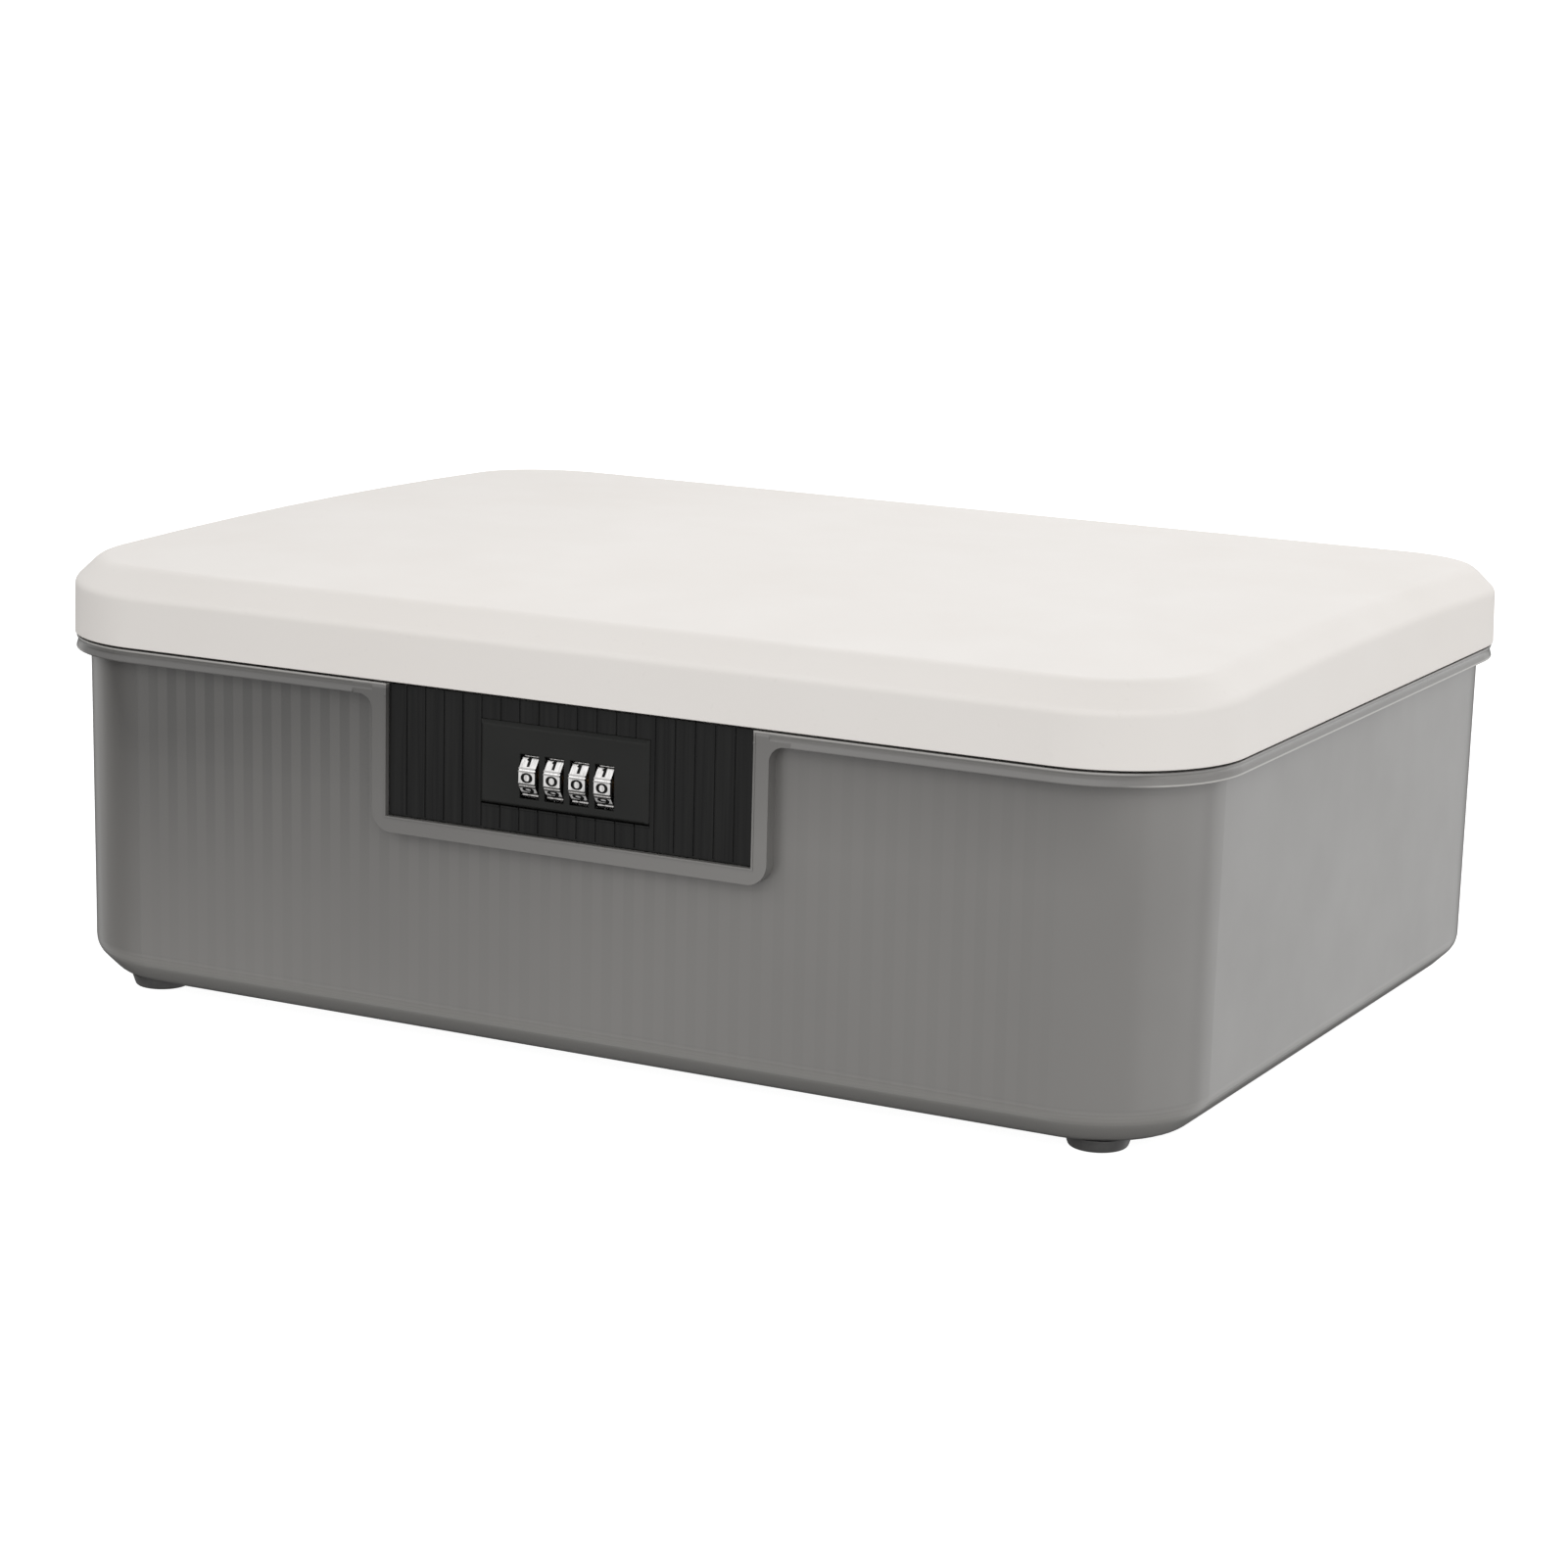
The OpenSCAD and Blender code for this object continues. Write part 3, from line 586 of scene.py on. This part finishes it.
# the lowest and highest corners of each separate solid in a CAD node
def solidsOf(name, look=screwShape):
    bm = bmesh.new()
    bm.from_mesh(nodes[name].data)
    bmesh.ops.remove_doubles(bm, verts=bm.verts, dist=look["nodeWeld"])
    left = set(bm.verts)
    boxes = []
    while left:
        found = {left.pop()}
        edge = list(found)
        while edge:
            near = {e.other_vert(v) for v in edge for e in v.link_edges} - found
            found |= near
            edge = list(near)
        left -= found
        boxes.append(cornersOf(found))
    bm.free()
    return sorted(boxes, key=lambda box: tuple(box[0]))


def spinProfile(profile, look=screwShape):
    bm = bmesh.new()
    line = [bm.verts.new((radius, 0, height)) for radius, height in profile]
    edges = [bm.edges.new(pair) for pair in zip(line, line[1:])]
    bmesh.ops.spin(bm, geom=line + edges, cent=(0, 0, 0), axis=(0, 0, 1), angle=2 * math.pi,
                   steps=look["steps"], use_merge=True)
    bmesh.ops.remove_doubles(bm, verts=bm.verts, dist=weld)
    bmesh.ops.recalc_face_normals(bm, faces=bm.faces)
    return bm


# one bar of the cross recess, narrower at its bottom
def makeCutter(radius, height, turn, look=screwShape):
    size = (look["crossLength"] * radius, look["crossWidth"] * radius, 2 * look["crossDepth"] * height)
    bm = bmesh.new()
    bmesh.ops.create_cube(bm, size=1)
    bmesh.ops.scale(bm, vec=look["crossTaper"], verts=[v for v in bm.verts if v.co.z < 0])
    bmesh.ops.scale(bm, vec=size, verts=bm.verts)
    bmesh.ops.translate(bm, vec=(0, 0, height), verts=bm.verts)
    bmesh.ops.rotate(bm, matrix=Matrix.Rotation(turn, 3, "Z"), verts=bm.verts)
    return addObject("crossCutter", meshFrom(bm, "crossCutter"))


# a pan head with a cross recess; it stands on z = 0 and its shank points down
def makeScrew(headRadius, headHeight, shankRadius, shankLength, look=screwShape):
    profile = [(across * headRadius, up * headHeight) for across, up in look["headOutline"]]
    profile += [(across * shankRadius, up * shankLength) for across, up in look["shankOutline"]]
    screw = addObject("screw", meshFrom(spinProfile(profile), "screw"))
    cutters = [makeCutter(headRadius, headHeight, turn) for turn in (0, math.pi / 2)]
    for cutter in cutters:
        cut = screw.modifiers.new("cross", "BOOLEAN")
        cut.operation = "DIFFERENCE"
        cut.solver = "EXACT"
        cut.object = cutter
    mesh = evaluatedMesh(screw)
    for obj in (screw, *cutters):
        bpy.data.objects.remove(obj)
    return mesh


def makeScrews(look=screwShape):
    for name, kind in screws.items():
        bm = bmesh.new()
        for number, (low, high) in enumerate(solidsOf(name)):
            size = high - low
            middle = (low + high) / 2
            radius = size.x / 2
            length = size.z if kind["hangs"] else size.y
            headHeight = kind["head"] * length
            if kind["hangs"]:   # the head is below, under the lid
                turn = Matrix.Rotation(math.pi, 4, "X")
                where = Vector((middle.x, middle.y, low.z + headHeight))
            else:               # the head faces the inside of the box
                turn = Matrix.Rotation(-math.pi / 2, 4, "X")
                where = Vector((middle.x, high.y - headHeight, middle.z))
            own = Matrix.Rotation(look["firstTurn"] + look["nextTurn"] * number, 4, "Z")
            mesh = makeScrew(radius, headHeight, kind["shank"] * radius, length - headHeight)
            mesh.transform(Matrix.Translation(where) @ turn @ own)
            bm.from_mesh(mesh)
            bpy.data.meshes.remove(mesh)
        obj = addObject(f"{name}_detailed", meshFrom(bm, f"{name}_detailed"))
        obj.data.materials.append(materials[slotOf[name]])
        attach(obj, kind["body"])
        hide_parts(name)


makeScrews()
print("screws made")


paleFloor = {
    "reach": 40,               # metres from the middle to each edge
    "shader": {"Base Color": (0.3, 0.3, 0.3, 1), "Roughness": 0.7,
               "Emission Color": (1, 1, 1, 1), "Emission Strength": 0.95},
}


def makeFloor(look=paleFloor):
    bm = bmesh.new()
    bmesh.ops.create_grid(bm, x_segments=2, y_segments=2, size=look["reach"])
    floor = addObject("floor", meshFrom(bm, "floor"))
    mat, _, shader = startMaterial("paleFloor")
    setPlain(shader, look["shader"])
    floor.data.materials.append(mat)
    floor.visible_diffuse = False   # the room's own light makes the dark underside of the photo
    floor.visible_glossy = False


# a glow fades in over each range of directions that it names; the last one ends at its strength
room = {
    "sky": ((-0.06, 0.10), (0.03, 0.75), (0.55, 1.97), (0.95, 0.12)),   # height in the sky, strength
    "sideways": (0.2, 1, 1.12, 0.62),       # from the middle to the sides
    "groundShare": 0.72,                    # what the ground throws back in front, right and behind
    "front": (("along", -0.55, -0.8),),
    "right": (("across", 0.1, 0.4, 0, 1.05),),
    "behind": (("across", -0.05, 0.25), ("along", 0.35, 0.75, 0, 1.35)),
    "left": (("across", -0.75, -0.9), ("along", -0.25, 0.3, 0, 0.5)),
    "corner": (("across", 0.78, 0.88), ("height", -0.45, -0.25, 0, 0.65)),
    "below": (("height", -0.85, -0.3, 0.1, 1), ("height", -0.05, 0.03, 1, 0)),   # where ground shows
    "patch": (("height", -0.78, -0.84), ("across", -0.25, -0.38), ("along", 0.12, 0.02, 0, 0.4)),
}


def glow(tree, axes, ranges):
    return combine(tree, "MULTIPLY", *(fromTo(tree, axes[axis], *limits) for axis, *limits in ranges))


# soft light all round: strongest half way up, weaker from the sides and dim from below
def makeRoom(look=room):
    world = bpy.data.worlds.new("softRoom")
    world.use_nodes = True
    tree = world.node_tree
    direction = tree.nodes.new("ShaderNodeTexCoord").outputs["Generated"]
    across, along, height = partsOf(tree, direction)
    axes = {"across": across, "along": along, "height": height}
    steps = look["sky"]
    strength = fromTo(tree, height, steps[0][0], steps[1][0], steps[0][1], steps[1][1])
    for low, high in zip(steps[1:], steps[2:]):
        change = fromTo(tree, height, low[0], high[0], 0, high[1] - low[1])
        strength = calculate(tree, "ADD", strength, change)
    side = fromTo(tree, calculate(tree, "ABSOLUTE", across), *look["sideways"])
    strength = calculate(tree, "MULTIPLY", strength, side)
    thrownBack = [glow(tree, axes, look[name]) for name in ("right", "behind", "front")]
    ground = calculate(tree, "MULTIPLY", combine(tree, "MAXIMUM", *thrownBack), look["groundShare"])
    for name in ("left", "corner"):
        ground = calculate(tree, "ADD", ground, glow(tree, axes, look[name]))
    strength = calculate(tree, "MULTIPLY_ADD", ground, glow(tree, axes, look["below"]), strength)
    # bright ground below on the left, which the lower faces of the wheels mirror
    strength = calculate(tree, "ADD", strength, glow(tree, axes, look["patch"]))
    background = tree.nodes["Background"]
    background.inputs["Color"].default_value = (1, 1, 1, 1)
    tree.links.new(strength, background.inputs["Strength"])
    bpy.context.scene.world = world


sideLamp = {
    "where": (1.3, 0.1, 0.5),
    "target": (0.1, 0, 0.06),
    "size": (0.9, 0.8),
    "power": 0.2,
}


def makeLamp(name, where, target, size, power):
    lamp = bpy.data.lights.new(name, "AREA")
    lamp.shape = "RECTANGLE"
    lamp.size, lamp.size_y = size
    lamp.energy = power
    obj = addObject(name, lamp)
    obj.location = where
    obj.rotation_euler = (Vector(target) - Vector(where)).to_track_quat("-Z", "Y").to_euler()


camera = {
    "where": (0.450604, -0.873646, 0.258536),
    "yaw": 27.484,                 # degrees
    "pitch": 12.086,
    "roll": 1.436,
    "lens": 92.70,                 # millimetres
    "sensor": 36,
}


def makeCamera(look=camera):
    lens = bpy.data.cameras.new("camera")
    lens.lens = look["lens"]
    lens.sensor_width = look["sensor"]
    lens.sensor_fit = "HORIZONTAL"
    obj = addObject("camera", lens)
    turn = Matrix.Rotation(math.radians(look["yaw"]), 4, "Z")
    turn = turn @ Matrix.Rotation(math.radians(90 - look["pitch"]), 4, "X")
    turn = turn @ Matrix.Rotation(math.radians(look["roll"]), 4, "Z")
    obj.matrix_world = Matrix.Translation(look["where"]) @ turn
    bpy.context.scene.camera = obj


makeFloor()
makeRoom()
makeLamp("rightSide", **sideLamp)
makeCamera()
bpy.context.scene.view_settings.view_transform = "Standard"
print("studio ready")
